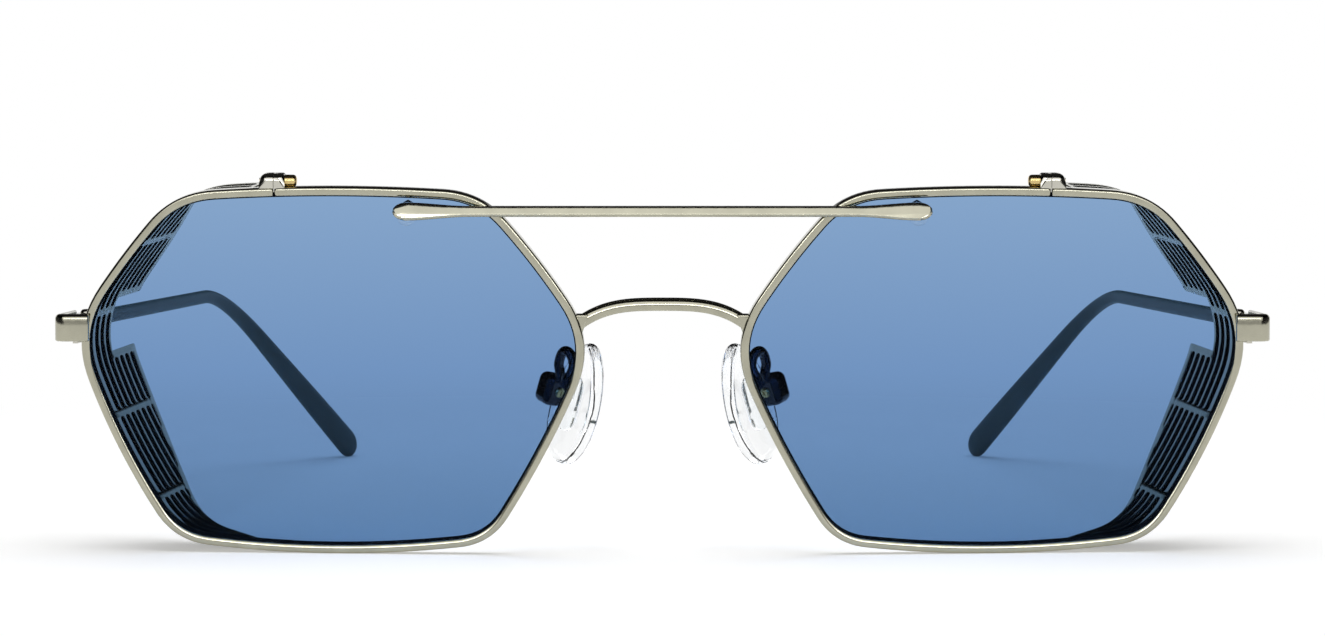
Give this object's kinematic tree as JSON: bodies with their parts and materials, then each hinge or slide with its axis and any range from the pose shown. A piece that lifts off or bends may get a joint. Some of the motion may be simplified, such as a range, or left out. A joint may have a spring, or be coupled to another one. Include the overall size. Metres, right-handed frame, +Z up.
{
  "type": "sunglasses",
  "caption": "Hexagonal metal sunglasses with a straight brow bar over an arched bridge, blue tinted lenses, slotted side shields, folding temples and rocking clear nose pads.",
  "frame": {"origin": "under the middle of the open sunglasses, on the surface that the rims and temple tips stand on", "axes": "+X to the right as seen from the front, +Y from the front to the temple tips, +Z up"},
  "size_m": [0.1368, 0.1328, 0.043],
  "materials": {
    "rim_metal": "satin champagne plating",
    "fitting_metal": "bright plated",
    "gold_screw": "bright",
    "lens_tint": "gloss blue tint, see-through",
    "clear_plastic": "gloss clear",
    "pad_silicone": "clear silicone",
    "sleeve": "satin slate"
  },
  "bodies": {
    "front": {"rim_left": "rim_metal", "rim_right": "rim_metal", "side_shield_left": "rim_metal", "side_shield_right": "rim_metal", "end_piece_left": "rim_metal", "end_piece_right": "rim_metal", "lower_bridge": "rim_metal", "brow_bar": "rim_metal", "closing_block_outer_left": "fitting_metal", "closing_block_outer_right": "fitting_metal", "closing_block_inner_left": "fitting_metal", "closing_block_inner_right": "fitting_metal", "front_hinge_left": "fitting_metal", "front_hinge_right": "fitting_metal", "hinge_screw_left": "fitting_metal", "hinge_screw_right": "fitting_metal", "pad_arm_left": "fitting_metal", "pad_arm_right": "fitting_metal", "brow_nut_left": "fitting_metal", "brow_nut_right": "fitting_metal", "closing_screw_left": "gold_screw", "closing_screw_right": "gold_screw", "pad_screw_left": "gold_screw", "pad_screw_right": "gold_screw", "lens_left": "lens_tint", "lens_right": "lens_tint", "brow_washer_left": "clear_plastic", "brow_washer_right": "clear_plastic"},
    "temple_left": {"temple_hinge_left": "fitting_metal", "temple_arm_left": "sleeve", "temple_tip_left": "sleeve"},
    "temple_right": {"temple_hinge_right": "fitting_metal", "temple_arm_right": "sleeve", "temple_tip_right": "sleeve"},
    "pad_left": {"nose_pad_left": "pad_silicone", "pad_core_left": "clear_plastic"},
    "pad_right": {"nose_pad_right": "pad_silicone", "pad_core_right": "clear_plastic"}
  },
  "joints": [
    {"name": "temple_left_fold", "type": "hinge", "parent": "front", "child": "temple_left", "pos_m": [-0.0665, -0.04984, 0.02495], "axis": [0, 0, -1], "range_deg": [0, 79]},
    {"name": "temple_right_fold", "type": "hinge", "parent": "front", "child": "temple_right", "pos_m": [0.0665, -0.04984, 0.02495], "axis": [0, 0, 1], "range_deg": [0, 74]},
    {"name": "pad_left_rock", "type": "hinge", "parent": "front", "child": "pad_left", "pos_m": [-0.01255, -0.05583, 0.01828], "axis": [-0.5389, 0.8129, 0.2211], "range_deg": [-8, 8]},
    {"name": "pad_right_rock", "type": "hinge", "parent": "front", "child": "pad_right", "pos_m": [0.01255, -0.05583, 0.01828], "axis": [0.5389, 0.8129, 0.2211], "range_deg": [-8, 8]}
  ]
}
